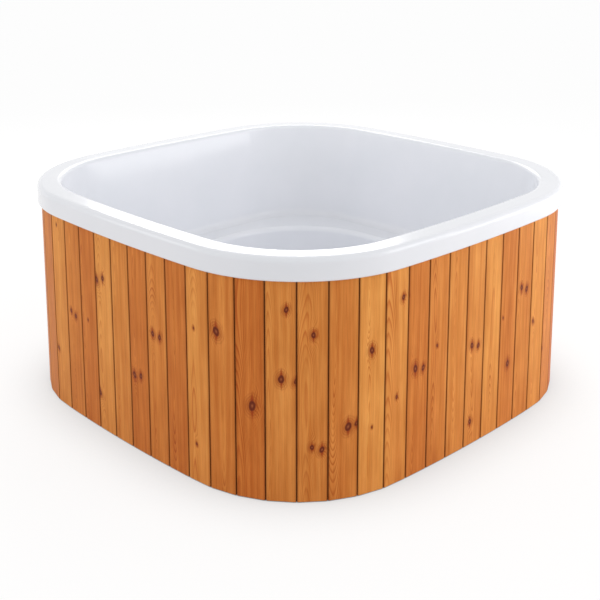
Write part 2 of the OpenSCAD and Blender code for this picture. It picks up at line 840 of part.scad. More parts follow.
// Soft sleeve over the lever's end
module lever_grip() {
    wall = 3;
    color(grip_red)
        difference() {
            translate([drain_x + lever_l - grip_l + wall, valve_y, lever_z + lever_rise - wall])
                linear_extrude(lever_t + 2 * wall)
                    union() {
                        translate([0, -lever_w / 2 - wall])
                            square([grip_l - lever_w / 2 - wall, lever_w + 2 * wall]);
                        translate([grip_l - lever_w / 2 - wall, 0])
                            circle(d = lever_w + 2 * wall);
                    }
            translate([drain_x, valve_y - lever_w / 2 - thread_gap, lever_z + lever_rise - thread_gap])
                cube([lever_l + thread_gap, lever_w + 2 * thread_gap, lever_t + 2 * thread_gap]);
        }
}

module lever_nut() {
    corner_d = 21;
    t = 6;
    color(steel)
        translate([drain_x, valve_y, lever_z + lever_t + thread_gap])
            difference() {
                cylinder(d = corner_d, h = t, $fn = 6);
                translate([0, 0, -1])
                    cylinder(d = stem_d + 2 * thread_gap, h = t + 2);
            }
}

hose_tail_d = drain_pipe_d;
hose_tail_l = 40;

// Screwed into the valve, with a plain tail that a drain hose is clamped on
module valve_hose_tail() {
    thread_from = cavity_half + seat_gap;
    collar_t = 12;   // eight-sided, for a wrench
    nose_l = 4;      // tapered end that leads a hose on
    nose_in = 2;
    tail_from = valve_half + collar_t;
    color(plastic)
        on_valve_axis()
            difference() {
                union() {
                    translate([0, 0, thread_from])
                        cylinder(d = tail_thread_d - 2 * thread_gap, h = valve_half - thread_from + 1);
                    translate([0, 0, valve_half + seat_gap])
                        cylinder(d = valve_body_d + 2, h = collar_t - seat_gap, $fn = 8);
                    translate([0, 0, tail_from - 1])
                        cylinder(d = hose_tail_d, h = hose_tail_l + 1);
                    translate([0, 0, tail_from + hose_tail_l])
                        cylinder(d1 = hose_tail_d, d2 = hose_tail_d - 2 * nose_in, h = nose_l);
                }
                cylinder(d = drain_bore, h = tail_from + hose_tail_l + nose_l + 1);
            }
}

port_flange_t = 6;
port_edge = 5;       // bevel of a port's face
port_inset = 4;      // of the port's face inside its boss
port_flange_d = 2 * (boss_r - port_inset);

// Inside face of a heater port: a slotted cap over a threaded tail that goes out through the wall
module port_flange(z) {
    slots = 4;
    slot_w = 4;
    slot_end = 4;    // each slot ends this far inside the bore
    cap_t = 3;
    tail_t = 5;
    front = boss_front(z) - gasket_t - port_flange_t;
    bore = heater_pipe_d - 2 * tail_t;
    tail_to = boss_back(z) - front + port_tail_end;
    color(plastic)
        translate([heater_x, front, z])
            rotate([-90, 0, 0])
                difference() {
                    union() {
                        cylinder(d1 = port_flange_d - 2 * port_edge, d2 = port_flange_d, h = port_flange_t);
                        translate([0, 0, port_flange_t - 1])
                            cylinder(d = heater_pipe_d, h = tail_to - port_flange_t + 1);
                    }
                    translate([0, 0, cap_t])
                        cylinder(d = bore, h = tail_to);
                    for (i = [0:slots - 1])
                        translate([slot_end - bore / 2, (i + 0.5) * bore / slots - (bore + slot_w) / 2, -1])
                            cube([bore - 2 * slot_end, slot_w, cap_t + 2]);
                }
}

module upper_port_flange() { port_flange(heater_high_z); }
module lower_port_flange() { port_flange(heater_low_z); }

module port_gaskets() {
    color(rubber)
        for (z = [heater_low_z, heater_high_z])
            translate([heater_x, boss_front(z) - gasket_t, z])
                rotate([-90, 0, 0])
                    difference() {
                        cylinder(d = port_flange_d - 2 * gasket_inset, h = gasket_t);
                        translate([0, 0, -1])
                            cylinder(d = heater_pipe_d + 2 * gasket_play, h = gasket_t + 2);
                    }
}

module port_nuts() {
    corner = 16;     // from the thread out to the nut's corners
    color(plastic)
        for (z = [heater_low_z, heater_high_z])
            translate([heater_x, boss_back(z) + seat_gap, z])
                rotate([-90, 0, 0])
                    difference() {
                        cylinder(d = heater_pipe_d + 2 * corner, h = port_nut_t, $fn = 6);
                        translate([0, 0, -1])
                            cylinder(d = heater_pipe_d + 2 * thread_gap, h = port_nut_t + 2);
                    }
}

// Pipe from a port's tail out through the cladding. Its socket goes over the tail, and a bead outside
// the cladding is the stop for a hose.
module port_pipe(z) {
    bead_t = 4;
    bead_h = 3;
    socket_wall = 4;
    tail_end = boss_back(z) + port_tail_end;
    socket_from = boss_back(z) + port_nut_t + 1;
    end = back_face_y + heater_stub;
    color(steel)
        translate([heater_x, 0, z])
            rotate([-90, 0, 0])
                difference() {
                    union() {
                        translate([0, 0, socket_from])
                            cylinder(d = heater_pipe_d + 2 * socket_wall,
                                h = tail_end - socket_from + socket_wall);
                        translate([0, 0, tail_end])
                            cylinder(d = heater_pipe_d, h = end - tail_end);
                        translate([0, 0, end - heater_hose_l - bead_t])
                            cylinder(d = heater_pipe_d + 2 * bead_h, h = bead_t);
                    }
                    translate([0, 0, socket_from - 1])
                        cylinder(d = heater_pipe_d + 2 * thread_gap, h = tail_end - socket_from + 1.5);
                    translate([0, 0, socket_from])
                        cylinder(d = heater_pipe_d - 2 * heater_pipe_wall, h = end - socket_from + 1);
                }
}

module upper_port_pipe() { port_pipe(heater_high_z); }
module lower_port_pipe() { port_pipe(heater_low_z); }

tub_shell();
wall_foam();
well_foam();
floor_pad();
ground_bearers();
base_board();
bottom_ring();
ledge_deck();
top_ring();
lower_studs();
upper_studs();
ledge_posts();
front_boards();
front_right_corner_boards();
right_boards();
back_right_corner_boards();
back_boards();
drain_board();
heater_board();
back_left_corner_boards();
left_boards();
front_left_corner_boards();
drain_strainer();
drain_flange();
drain_gasket();
drain_nut();
drain_elbow();
drain_pipe();
drain_grommet();
valve_body();
valve_seats();
valve_ball();
valve_stem();
valve_lever();
lever_grip();
lever_nut();
valve_hose_tail();
upper_port_flange();
lower_port_flange();
port_gaskets();
port_nuts();
upper_port_pipe();
lower_port_pipe();
port_grommets();
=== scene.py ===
# %% [markdown]
# # A square hot tub, dressed
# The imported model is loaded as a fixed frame. It holds every piece at its real size and says which pieces
# move together. This file adds what the eye needs on top: a smooth white moulding, 60 pine boards with their
# own grain and knots, finishes for the plumbing, and a plain studio. Lengths are in metres.

# %% Load the frame
import math
import random

import bpy
from mathutils import Matrix, Vector


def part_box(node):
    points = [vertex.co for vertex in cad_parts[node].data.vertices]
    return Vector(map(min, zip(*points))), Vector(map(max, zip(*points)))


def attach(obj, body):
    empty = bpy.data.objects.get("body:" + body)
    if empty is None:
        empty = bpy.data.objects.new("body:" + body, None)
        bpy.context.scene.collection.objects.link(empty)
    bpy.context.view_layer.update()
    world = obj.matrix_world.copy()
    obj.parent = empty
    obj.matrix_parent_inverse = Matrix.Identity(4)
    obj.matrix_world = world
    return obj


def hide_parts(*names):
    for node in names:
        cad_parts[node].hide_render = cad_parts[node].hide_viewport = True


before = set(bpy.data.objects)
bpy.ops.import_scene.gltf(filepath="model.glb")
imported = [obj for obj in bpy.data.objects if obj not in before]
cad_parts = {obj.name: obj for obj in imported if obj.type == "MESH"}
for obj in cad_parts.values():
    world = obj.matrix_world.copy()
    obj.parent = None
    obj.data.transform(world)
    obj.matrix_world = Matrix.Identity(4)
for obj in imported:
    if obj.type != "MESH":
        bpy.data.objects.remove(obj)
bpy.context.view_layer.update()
slot_of = {name: piece.material_slots[0].material.name for name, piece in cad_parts.items()}

# %% [markdown]
# ## The camera
# A photograph's perspective can be found again from straight things in it. Here the joints between the
# boards, the skirt's foot and its two silhouettes gave the distance, the height and the tilt of the camera.
# The lens follows from the focal length in pixels. The uprights in the picture lean together less than they
# would with a camera that looks straight down at the tub. So this one looks less steeply, and the picture is
# taken from under its axis, by a shift that still leaves the whole tub in the picture when the camera goes
# round it.

# %% Place the camera
PICTURE = 600                       # the photograph is square, this many pixels wide
FOCAL_LENGTH = 1100.5               # in pixels of the photograph
AXIS_ROW = 120.0                    # the row of pixels that the optical axis meets
EYE_AWAY = 5.130                    # from the tub's middle, level with the ground
EYE_SIDE = 0.0015                   # to the right of the line towards the tub's middle
EYE_HEIGHT = 2.323                  # over the ground
EYE_TILT = math.radians(11.592)     # how far down it looks
EYE_AROUND = math.radians(45.53)    # how far round from the front it stands
SIGHT = 200.0                       # nothing farther off than this is drawn

lens = bpy.data.cameras.new("camera")
camera = bpy.data.objects.new("camera", lens)
bpy.context.scene.collection.objects.link(camera)
bpy.context.scene.camera = camera
camera.location = Matrix.Rotation(EYE_AROUND, 4, "Z") @ Vector((EYE_SIDE, -EYE_AWAY, EYE_HEIGHT))
camera.rotation_euler = (math.radians(90) - EYE_TILT, 0, EYE_AROUND)
lens.lens = FOCAL_LENGTH / PICTURE * lens.sensor_width
lens.shift_y = (AXIS_ROW - PICTURE / 2) / PICTURE
lens.clip_end = SIGHT
print("lens", round(lens.lens, 1), "mm, shifted", lens.shift_y)

# %% [markdown]
# ## The plan
# Seen from above, the tub is a square whose sides bow outwards a little and whose corners are round. That is
# four wide arcs and four tight ones that touch without a kink. The centre of each tight arc follows from the
# three sizes. An outline that is moved in or out keeps the same centres, so its radii alone change.

# %% Sizes of the plan
SKIRT = {"width": 2.120, "corner": 0.600, "bow": 8.000}
WELL = {"width": 1.400, "corner": 0.500, "bow": 900.0}  # the foot well's sides are straight
SIDE_STEPS = 36
CORNER_STEPS = 28


def corner_place(plan):
    """Distance of a corner arc's centre from the two middle planes."""
    short = plan["bow"] - plan["width"] / 2
    rest = short ** 2 - (plan["bow"] - plan["corner"]) ** 2
    return (-short + math.sqrt(short ** 2 - 2 * rest)) / 2


def bow_angle(plan):
    """Half the angle that a bowed side turns through."""
    place = corner_place(plan)
    return math.atan2(place, plan["bow"] - plan["width"] / 2 + place)


def outline(plan, out, height):
    """The plan's outline moved outwards, as points at one height, round from the front left corner."""
    place, lean = corner_place(plan), bow_angle(plan)
    arcs = [
        ((0, plan["bow"] - plan["width"] / 2), plan["bow"] + out, -lean, lean * 2, SIDE_STEPS),
        ((place, -place), plan["corner"] + out, lean, math.pi / 2 - 2 * lean, CORNER_STEPS),
    ]
    points = []
    for quarter in range(4):
        turn = Matrix.Rotation(quarter * math.pi / 2, 3, "Z")
        for centre, radius, start, sweep, steps in arcs:
            for i in range(steps):
                angle = -math.pi / 2 + start + sweep * i / steps
                spot = (centre[0] + radius * math.cos(angle), centre[1] + radius * math.sin(angle), height)
                points.append(turn @ Vector(spot))
    return points


print("corner arcs are centred", round(corner_place(SKIRT), 3), "m from the middle planes")

# %% [markdown]
# ## Working by hand, in code
# Blender's modelling operators act on what is selected, so each step starts by selecting nothing. A mesh is
# then started from a primitive, and its new points are laid where they belong. Points and places are matched
# by their direction from the tub's middle, which is counted from a line that no point lies on.

# %% Helpers for modelling
COUNT_FROM = 0.008    # the angle under the X axis from which directions are counted


def nothing_selected():
    bpy.ops.object.select_all(action="DESELECT")
    bpy.context.view_layer.objects.active = None


def pick(piece):
    """Selects one piece alone and makes it the active one."""
    nothing_selected()
    piece.select_set(True)
    bpy.context.view_layer.objects.active = piece


def named(name):
    """The object that the last operator made, under its own name."""
    made = bpy.context.object
    made.name = made.data.name = name
    return made


def direction(spot):
    """A place's angle round the tub's middle."""
    return (math.atan2(spot.y, spot.x) + COUNT_FROM) % (2 * math.pi)


def lay(points):
    """In edit mode, moves the selected vertices onto a closed outline, each to the point in its direction."""
    mesh = bpy.context.object.data
    bpy.ops.object.mode_set(mode="OBJECT")
    picked = sorted((v for v in mesh.vertices if v.select), key=lambda v: direction(v.co))
    for vertex, point in zip(picked, sorted(points, key=direction)):
        vertex.co = point
    bpy.ops.object.mode_set(mode="EDIT")


def turn_outwards():
    """In edit mode, turns all faces outwards, and leaves edit mode."""
    bpy.ops.mesh.select_all(action="SELECT")
    bpy.ops.mesh.normals_make_consistent(inside=False)
    bpy.ops.object.mode_set(mode="OBJECT")


def apply_modifier(piece, kind, **settings):
    """Adds one modifier to the active piece and applies it."""
    added = piece.modifiers.new(kind.lower(), kind)
    for key, value in settings.items():
        setattr(added, key, value)
    bpy.ops.object.modifier_apply(modifier=added.name)


print("directions are counted from", round(math.degrees(COUNT_FROM), 2), "degrees under the X axis")

# %% [markdown]
# ## The moulding's profile
# The real shell is one sheet of acrylic, drawn into a mould and stiffened with glass fibre. Cut through, it
# is a single line: under the rim, round its edge, over the flat top, down the leaning wall, along the ledge,
# down into the foot well. Each bend is an arc that touches both neighbours, so the profile is worked out
# from the heights, the two slopes and the radii, the way the moulding was drawn in the first place.

# %% Profile of the moulding
RIM_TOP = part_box("tub_shell")[1].z
RIM_HEIGHT = 0.096
RIM_OVERHANG = 0.016
RIM_INSET = 0.094
LEDGE = 0.500
FLOOR = 0.150
SHELL = 0.008
WALL_LEAN = math.radians(10.8)
WELL_LEAN = math.radians(4.5)
LIP_START = 0.001       # the rim's underside starts so far outside the boards
LIP_RADIUS = 0.010      # between the rim's underside and its side
EDGE_RADIUS = 0.025     # between the rim's side and its top
INNER_RADIUS = 0.022    # between the rim's top and the wall
LEDGE_COVE = 0.040      # between the wall and the ledge
LEDGE_EDGE = 0.030      # between the ledge and the foot well
FLOOR_COVE = 0.060      # between the foot well's wall and its floor
EDGE_STEPS = 9


def arc(centre, radius, start, end):
    """Points of an arc in the profile, as (distance outwards, height)."""
    turns = [math.radians(start + (end - start) * i / EDGE_STEPS) for i in range(EDGE_STEPS + 1)]
    return [(centre[0] + radius * math.cos(t), centre[1] + radius * math.sin(t)) for t in turns]


def bend_centre(wall, wall_height, lean, level, radius, side):
    """Centre of the arc between a level and a leaning wall. Side is 1 on an outer edge and -1 in a cove."""
    drop = level - side * radius - wall_height
    return wall + (side * radius + math.sin(lean) * drop) / math.cos(lean), level - side * radius


wall_degrees, well_degrees = math.degrees(WALL_LEAN), math.degrees(WELL_LEAN)
rim_under = RIM_TOP - RIM_HEIGHT
inner_centre = bend_centre(-RIM_INSET, RIM_TOP, WALL_LEAN, RIM_TOP, INNER_RADIUS, 1)
cove_centre = bend_centre(-RIM_INSET, RIM_TOP, WALL_LEAN, LEDGE, LEDGE_COVE, -1)
ledge_centre = bend_centre(0, LEDGE, WELL_LEAN, LEDGE, LEDGE_EDGE, 1)
floor_centre = bend_centre(0, LEDGE, WELL_LEAN, FLOOR, FLOOR_COVE, -1)
upper_profile = (
    [(LIP_START, rim_under)]
    + arc((RIM_OVERHANG - LIP_RADIUS, rim_under + LIP_RADIUS), LIP_RADIUS, -90, 0)
    + arc((RIM_OVERHANG - EDGE_RADIUS, RIM_TOP - EDGE_RADIUS), EDGE_RADIUS, 0, 90)
    + arc(inner_centre, INNER_RADIUS, 90, 180 - wall_degrees)
    + arc(cove_centre, LEDGE_COVE, -wall_degrees, -90)
)
lower_profile = (
    arc(ledge_centre, LEDGE_EDGE, 90, 180 - well_degrees)
    + arc(floor_centre, FLOOR_COVE, -well_degrees, -90)
)
print("the profile has", len(upper_profile) + len(lower_profile), "points")

# %% [markdown]
# ## The moulding
# A circle is laid on the first outline. Its edge is then extruded again and again, and each new edge is laid
# on the outline at the next point of the profile. The ledge is the one strip between the two plans. Solidify
# gives the sheet its thickness behind the face.

# %% Model the moulding
FLOOR_INSET = 0.25    # a smaller face inside the floor keeps the bend's shading off its middle


def extruded_along(plan, profile, start):
    """Extrudes the selected edge loop through the points of a profile, from the given point on."""
    for out, height in profile[start:]:
        bpy.ops.mesh.extrude_edges_move()
        lay(outline(plan, out, height))


nothing_selected()
first = outline(SKIRT, *upper_profile[0])
bpy.ops.mesh.primitive_circle_add(vertices=len(first), radius=1)
shell = named("moulded_shell")
bpy.ops.object.mode_set(mode="EDIT")
bpy.ops.mesh.select_all(action="SELECT")
lay(first)
extruded_along(SKIRT, upper_profile, 1)
extruded_along(WELL, lower_profile, 0)
bpy.ops.mesh.edge_face_add()
bpy.ops.mesh.inset(thickness=FLOOR_INSET)
turn_outwards()
floor_face = min(shell.data.polygons, key=lambda face: face.center.xy.length)
if floor_face.normal.z < 0:
    shell.data.flip_normals()
apply_modifier(shell, "SOLIDIFY", thickness=SHELL, offset=-1, use_even_offset=True, use_quality_normals=True)
print("moulding:", len(shell.data.polygons), "faces, wall", SHELL * 1000, "mm")

# %% [markdown]
# ## Tools for holes
# A hole is a cylinder taken away with a Boolean, the way a hole saw works. Afterwards the surface is shaded
# smoothly, except over sharp edges, and weighted normals keep the flats flat beside the bends.

# %% Rods, cuts and smooth shading
ROD_SIDES = 96
SHARP = math.radians(30)    # edges that turn more than this stay sharp


def rod(name, radius, start, end, rounding=0.0):
    """A cylinder between two points, with rounded rims where a rounding is given."""
    start, end = Vector(start), Vector(end)
    nothing_selected()
    bpy.ops.mesh.primitive_cylinder_add(
        vertices=ROD_SIDES, radius=radius, depth=(end - start).length, location=(start + end) / 2,
        rotation=(end - start).to_track_quat("Z", "Y").to_euler())
    made = named(name)
    if rounding:
        bpy.ops.object.mode_set(mode="EDIT")
        bpy.ops.mesh.select_all(action="DESELECT")
        bpy.ops.mesh.select_face_by_sides(number=4, type="GREATER")
        bpy.ops.mesh.region_to_loop()
        bpy.ops.mesh.bevel(offset=rounding, segments=3)
        bpy.ops.object.mode_set(mode="OBJECT")
    bpy.ops.object.transform_apply(location=True, rotation=True, scale=True)
    return made


def cut_with(piece, tool, operation="DIFFERENCE"):
    """Cuts a tool out of a piece, or joins it on, and clears the tool away."""
    pick(piece)
    apply_modifier(piece, "BOOLEAN", object=tool, operation=operation, solver="EXACT")
    bpy.data.objects.remove(tool)


def smooth(piece):
    """Smooth shading, but for sharp edges, with flats that stay flat beside bends."""
    pick(piece)
    bpy.ops.object.shade_smooth_by_angle(angle=SHARP)
    apply_modifier(piece, "WEIGHTED_NORMAL", keep_sharp=True)


print("a rod has", ROD_SIDES, "sides")

# %% [markdown]
# ## Holes and bosses
# The drain leaves through the floor. Two heater ports leave through the foot well's wall, and since that
# wall leans, each port sits on a round boss with flat faces. A boss is a bevelled cylinder that is joined on
# with a Boolean before its hole is cut.

# %% Bosses, ports and the drain's hole
DRAIN_X, DRAIN_Y = 0.122395, 0.420
DRAIN_HOLE = 0.0242     # radius
PORT_X, PORT_HEIGHTS = -0.122395, (0.250, 0.395)
PORT_HOLE = 0.0252
BOSS_RADIUS = 0.053
BOSS_EDGE = 0.002       # how far its rims are rounded
BOSS_STAND = 0.003      # how far its faces stand off the wall, at the least
SAW_REACH = 0.05        # how far a saw goes past what it cuts


def well_wall(height):
    """How far out the foot well's wall stands at a height."""
    return WELL["width"] / 2 - (LEDGE - height) * math.tan(WELL_LEAN)


boss_slack = BOSS_RADIUS * math.tan(WELL_LEAN) + BOSS_STAND
for height in PORT_HEIGHTS:
    front, back = well_wall(height) - boss_slack, well_wall(height) + SHELL + boss_slack
    cut_with(shell, rod("boss", BOSS_RADIUS, (PORT_X, front, height), (PORT_X, back, height), BOSS_EDGE),
             "UNION")
    cut_with(shell, rod("saw", PORT_HOLE, (PORT_X, front - SAW_REACH, height),
                        (PORT_X, back + SAW_REACH, height)))
cut_with(shell, rod("saw", DRAIN_HOLE, (DRAIN_X, DRAIN_Y, FLOOR - SAW_REACH),
                    (DRAIN_X, DRAIN_Y, FLOOR + SAW_REACH)))
smooth(shell)
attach(shell, "tub")
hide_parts("tub_shell")
print("moulding with its holes:", len(shell.data.polygons), "faces, height",
      round(max(v.co.z for v in shell.data.vertices), 4))

# %% [markdown]
# ## Where the boards stand
# The 60 boards share one pitch, measured along the outline. A joint is found by walking along the arcs, and
# every point of a board hangs on the joint at its own side, so the boards meet square round the corners as
# well.

# %% Joints between the boards
BOARDS_PER_QUARTER = 15
BOARD_COUNT = 4 * BOARDS_PER_QUARTER
corner_half = SKIRT["corner"] * (math.pi / 4 - bow_angle(SKIRT))
quarter_length = 2 * (corner_half + SKIRT["bow"] * bow_angle(SKIRT))
PITCH = quarter_length / BOARDS_PER_QUARTER


def joint(k):
    """Point and outward angle of a joint, counted from the middle of the front left corner."""
    quarter, rest = divmod(k, BOARDS_PER_QUARTER)
    along = rest * PITCH
    place = corner_place(SKIRT)
    if along < corner_half:
        angle, centre = -0.75 * math.pi + along / SKIRT["corner"], (-place, -place)
        radius = SKIRT["corner"]
    elif along > quarter_length - corner_half:
        angle, centre = -0.25 * math.pi - (quarter_length - along) / SKIRT["corner"], (place, -place)
        radius = SKIRT["corner"]
    else:
        angle = -math.pi / 2 - bow_angle(SKIRT) + (along - corner_half) / SKIRT["bow"]
        centre, radius = (0, SKIRT["bow"] - SKIRT["width"] / 2), SKIRT["bow"]
    point = Vector((centre[0] + radius * math.cos(angle), centre[1] + radius * math.sin(angle), 0))
    return Matrix.Rotation(quarter * math.pi / 2, 3, "Z") @ point, angle + quarter * math.pi / 2


def at_joint(k, along, depth):
    """A point beside a joint: so far along the outline, and so deep behind the boards' faces."""
    point, angle = joint(k)
    out = Vector((math.cos(angle), math.sin(angle), 0))
    return point + along * Vector((-out.y, out.x, 0)) - depth * out


print("boards are", round(PITCH * 1000, 1), "mm apart; joint 15 is at", at_joint(15, 0, 0))

# %% [markdown]
# ## One board
# Tongue and groove boards are planed on four sides: a tongue runs down one edge, a groove down the other,
# and the two front corners are taken off so that a joint shows as a clean dark line. A cube at the board's
# size is cut twice to mark the tongue's thickness. The strip between the cuts is pulled out on one edge and
# pushed in on the other. Only the upright edges of the face are bevelled.

# %% Model one board
BOARD_THICKNESS = 0.022
BOARD_GAP = 0.004
BOARD_BOTTOM, BOARD_TOP = 0.004, 0.990
TONGUE_DEPTH, TONGUE_THICKNESS, TONGUE_REACH = 0.0075, 0.005, 0.005
TONGUE_TAPER = 0.85        # the tongue's tip is so much thinner than its root
GROOVE_SLACK = 0.0003      # the groove is so much deeper than the tongue is long
ARRIS = 0.003
SAME_PLACE = 1e-5          # two places this near to each other count as one
board_middle = (BOARD_BOTTOM + BOARD_TOP) / 2
tongue_middle = TONGUE_DEPTH + TONGUE_THICKNESS / 2


def select_only(kind, test):
    """In edit mode, selects only the faces or the edges that pass the test."""
    mesh = bpy.context.object.data
    bpy.ops.mesh.select_mode(type=kind)
    bpy.ops.mesh.select_all(action="DESELECT")
    bpy.ops.object.mode_set(mode="OBJECT")
    for found in (mesh.polygons if kind == "FACE" else mesh.edges):
        found.select = test(found)
    bpy.ops.object.mode_set(mode="EDIT")


def on_side(face, side):
    """Whether a face is the strip between the two cuts, on the right (1) or the left (-1) edge."""
    return face.normal.x * side > 0.9 and abs(face.center.y - tongue_middle) < SAME_PLACE


def up_the_face(edge):
    """Whether an edge runs up the board's face."""
    a, b = (plain_board.data.vertices[i].co for i in edge.vertices)
    return max(a.y, b.y) < SAME_PLACE and abs(a.x - b.x) < SAME_PLACE


nothing_selected()
bpy.ops.mesh.primitive_cube_add(
    size=1, location=(0, BOARD_THICKNESS / 2, board_middle),
    scale=(PITCH - BOARD_GAP, BOARD_THICKNESS, BOARD_TOP - BOARD_BOTTOM))
bpy.ops.object.transform_apply(location=True, rotation=True, scale=True)
plain_board = named("plain_board")
bpy.ops.object.mode_set(mode="EDIT")
for depth in (TONGUE_DEPTH, TONGUE_DEPTH + TONGUE_THICKNESS):
    bpy.ops.mesh.select_all(action="SELECT")
    bpy.ops.mesh.bisect(plane_co=(0, depth, 0), plane_no=(0, 1, 0))
for side, reach in ((1, BOARD_GAP + TONGUE_REACH), (-1, TONGUE_REACH + GROOVE_SLACK)):
    select_only("FACE", lambda face: on_side(face, side))
    bpy.ops.mesh.extrude_region_move(TRANSFORM_OT_translate={"value": (reach, 0, 0)})
    if side > 0:
        bpy.ops.transform.resize(
            value=(1, TONGUE_TAPER, 1), center_override=(0, tongue_middle, board_middle))
select_only("EDGE", up_the_face)
bpy.ops.mesh.bevel(offset=ARRIS, segments=3, affect="EDGES")
turn_outwards()
print("one board:", len(plain_board.data.polygons), "faces,", round(plain_board.dimensions.x * 1000, 1),
      "mm wide")

# %% [markdown]
# ## The 60 boards, described
# No two boards look alike, so each one carries its own description: its tone, from dark 0 to light 1, and up
# to three knots, each as its place across and up the board and its radius in millimetres. The boards that
# face the camera are listed one by one. The rest are dealt out by a seeded random generator.

# %% Describe the boards
SEEN = {
    2: (0.45, []),
    3: (0.80, [(-43, 267, 7), (-13, 866, 4)]),
    4: (0.50, [(-29, 489, 7), (9, 473, 8)]),
    5: (0.35, [(-10, 487, 4)]),
    6: (0.85, [(-50, 696, 10), (-4, 712, 9), (-53, 171, 9)]),
    7: (0.65, []),
    8: (0.35, [(-34, 340, 10), (9, 348, 9)]),
    9: (0.50, [(-26, 562, 9), (18, 558, 9)]),
    10: (0.35, []),
    11: (0.75, [(-19, 657, 4), (-13, 166, 5)]),
    12: (0.50, [(-23, 673, 14)]),
    13: (0.30, [(9, 394, 15)]),
    14: (0.65, [(22, 795, 9), (2, 514, 12), (60, 509, 9)]),
    15: (0.60, [(3, 693, 9), (-2, 233, 8), (37, 222, 10)]),
    16: (0.50, [(20, 305, 13), (54, 314, 8)]),
    17: (0.90, [(-2, 603, 11), (2, 281, 4)]),
    18: (0.75, [(31, 785, 8), (3, 375, 6)]),
    19: (0.40, [(-66, 790, 5), (-15, 464, 12), (31, 455, 9)]),
    20: (0.50, [(-8, 526, 5)]),
    21: (0.65, []),
    22: (0.70, [(-21, 458, 10), (23, 445, 9), (-20, 110, 9)]),
    23: (0.80, []),
    24: (0.45, [(6, 291, 11), (-42, 517, 4)]),
    25: (0.60, [(-24, 618, 10), (18, 602, 10)]),
    26: (0.80, [(-35, 428, 7)]),
    27: (0.50, [(-59, 267, 6)]),
}
TONES = (0.2, 0.3, 0.45, 0.6, 0.75)
KNOT_COUNTS = (0, 1, 2, 2)
KNOT_HEIGHTS = (120, 300, 480, 640, 800)
ACROSS_BY, UP_BY, KNOT_SIZES = (-40, 40), (-60, 60), (5, 14)    # ranges, in millimetres
KNOTS = ("knot_1", "knot_2", "knot_3")
FAR_KNOT = (9, 0, 0.001)    # a small knot nine metres off, which doesn't show
chance = random.Random(14)


def described(k):
    """A board's tone and knots, as listed or by chance, with the knots in metres."""
    if k in SEEN:
        tone, knots = SEEN[k]
    else:
        tone = chance.choice(TONES)
        heights = chance.sample(KNOT_HEIGHTS, chance.choice(KNOT_COUNTS))
        knots = [(chance.uniform(*ACROSS_BY), height + chance.uniform(*UP_BY), chance.uniform(*KNOT_SIZES))
                 for height in heights]
    knots = [tuple(size / 1000 for size in knot) for knot in knots]
    return tone, knots + [FAR_KNOT] * (len(KNOTS) - len(knots))


print(len(SEEN), "boards are described by eye,", BOARD_COUNT - len(SEEN), "by chance")

# %% [markdown]
# ## The 60 boards, set up
# The frame holds the boards in groups, one to each side and corner, and the two boards that are drilled for
# the pipes stand alone. Each board is a copy of the plain one, hung on its two joints. Its description goes
# into its mesh as attributes, which one material can then read on all of them.

# %% Set up the boards
GROUPS = ("front", "front_right_corner", "right", "back_right_corner", "back", "back_left_corner", "left",
          "front_left_corner")
CORNER_BOARDS = 8
DRAIN_BOARD, HEATER_BOARD = 36, 38
DRAIN_PIPE_HEIGHT = 0.101
DRAIN_DRILL, PORT_DRILL = 0.026, 0.031    # radii
DRILL_FROM, DRILL_TO = 1.0, 1.1           # along Y, from inside the back's boards to outside them
PITH_ACROSS, PITH_DEPTH, PITH_LEAN = (-0.03, 0.03), (0.035, 0.075), (0.02, 0.06)    # ranges
SEEDS, RING_WIDTHS = (0, 50), (0.0030, 0.0044)


def group_of(k):
    """The frame's node that holds a board."""
    if k in (DRAIN_BOARD, HEATER_BOARD):
        return "drain_board" if k == DRAIN_BOARD else "heater_board"
    quarter, rest = divmod(k + CORNER_BOARDS // 2, BOARDS_PER_QUARTER)
    side = 2 * quarter + (1 if rest >= CORNER_BOARDS else 0)
    return GROUPS[(side - 1) % len(GROUPS)] + "_boards"


def hang(board, k):
    """Moves each point of a board from beside the middle line to beside the joint at its own side."""
    for vertex in board.data.vertices:
        across, depth, height = vertex.co
        near, along = (k, across + PITCH / 2) if across < 0 else (k + 1, across - PITCH / 2)
        vertex.co = at_joint(near, along, depth) + Vector((0, 0, height))


def drill(board, radius, x, height):
    cut_with(board, rod("saw", radius, (x, DRILL_FROM, height), (x, DRILL_TO, height)))


def keep(mesh, name, vectors):
    """Stores one vector for each vertex of a mesh, for its material to read."""
    stored = mesh.attributes.new(name, "FLOAT_VECTOR", "POINT")
    stored.data.foreach_set("vector", [number for vector in vectors for number in vector])


def describe(board, k):
    """Writes the board's own coordinates, its pith, its look and its knots into its mesh."""
    left, right = at_joint(k, 0, 0), at_joint(k + 1, 0, 0)
    along = (right - left).normalized()
    inward = Vector((-along.y, along.x, 0))
    middle = (left + right) / 2
    spots = [vertex.co - middle for vertex in board.data.vertices]
    keep(board.data, "wood_place", [(spot.dot(along), spot.dot(inward), spot.z) for spot in spots])
    tone, knots = described(k)
    pith = (chance.uniform(*PITH_ACROSS), chance.uniform(*PITH_DEPTH),
            chance.choice((-1, 1)) * chance.uniform(*PITH_LEAN))
    seed, spacing = chance.uniform(*SEEDS), chance.uniform(*RING_WIDTHS)
    for name, vector in (("pith", pith), ("look", (tone, seed, spacing)), *zip(KNOTS, knots)):
        keep(board.data, name, [vector] * len(spots))


